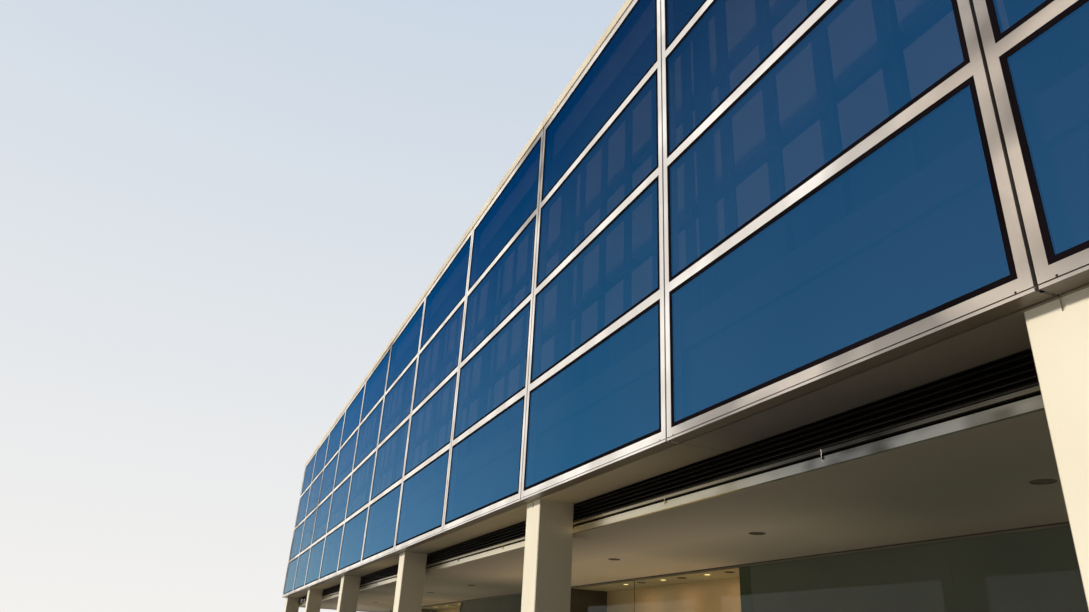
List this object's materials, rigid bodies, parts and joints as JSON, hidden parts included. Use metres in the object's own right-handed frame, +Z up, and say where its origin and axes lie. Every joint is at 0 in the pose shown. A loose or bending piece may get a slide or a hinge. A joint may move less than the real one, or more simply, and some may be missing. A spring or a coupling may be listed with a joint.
{
  "type": "shopping center",
  "caption": "Low shopping center: blue mirror-glass upper storey of framed curtain-wall units over a colonnaded arcade with louvres, soffit and glazed shopfronts",
  "frame": {"origin": "on the ground, under the middle of the plan", "axes": "+X along the length, +Y from the front facade to the back, +Z up"},
  "size_m": [36.7, 18.7, 8.209],
  "materials": {
    "silver_anodised_aluminium": "satin anodised",
    "blue_mirror_glass": "coated, reflective",
    "cream_coated_aluminium": "satin powder coat",
    "ivory_painted_concrete": "smooth painted render",
    "beige_soffit_panel": "matt coated sheet",
    "black_louvre_metal": "matt",
    "champagne_trim_aluminium": "satin anodised",
    "ceiling_plaster": "painted plasterboard",
    "clear_glass": "polished float",
    "grey_tinted_glass": "polished, tinted",
    "bronze_channel": "satin dark bronze",
    "grey_concrete": "fair-faced",
    "pink_grey_wall_board": "matt panel",
    "warm_display_board": "matt laminate",
    "grey_roof_membrane": "mineral-faced felt"
  },
  "bodies": {
    "root": {"front_frames": "silver_anodised_aluminium", "front_glass": "blue_mirror_glass", "front_coping": "cream_coated_aluminium", "front_parapet": "grey_roof_membrane", "front_beam": "grey_concrete", "front_inner_wall": "pink_grey_wall_board", "front_soffit": "beige_soffit_panel", "back_frames": "silver_anodised_aluminium", "back_glass": "blue_mirror_glass", "back_coping": "cream_coated_aluminium", "back_parapet": "grey_roof_membrane", "back_beam": "grey_concrete", "back_inner_wall": "pink_grey_wall_board", "back_soffit": "beige_soffit_panel", "right_frames": "silver_anodised_aluminium", "right_glass": "blue_mirror_glass", "right_coping": "cream_coated_aluminium", "right_parapet": "grey_roof_membrane", "right_beam": "grey_concrete", "right_inner_wall": "pink_grey_wall_board", "right_soffit": "beige_soffit_panel", "left_frames": "silver_anodised_aluminium", "left_glass": "blue_mirror_glass", "left_coping": "cream_coated_aluminium", "left_parapet": "grey_roof_membrane", "left_beam": "grey_concrete", "left_inner_wall": "pink_grey_wall_board", "left_soffit": "beige_soffit_panel", "corner_frames": "silver_anodised_aluminium", "corner_glass": "blue_mirror_glass", "side_columns": "ivory_painted_concrete", "corner_columns": "ivory_painted_concrete", "inner_columns": "ivory_painted_concrete", "louvre_slats": "black_louvre_metal", "upper_trims": "champagne_trim_aluminium", "lower_trims": "champagne_trim_aluminium", "clear_shop_panes": "clear_glass", "dark_shop_panes": "grey_tinted_glass", "shop_sills": "bronze_channel", "shop_heads": "bronze_channel", "display_walls": "warm_display_board", "ceiling": "ceiling_plaster", "ground_slab": "grey_concrete", "upper_floor": "grey_concrete", "roof_slab": "grey_roof_membrane"}
  },
  "joints": []
}
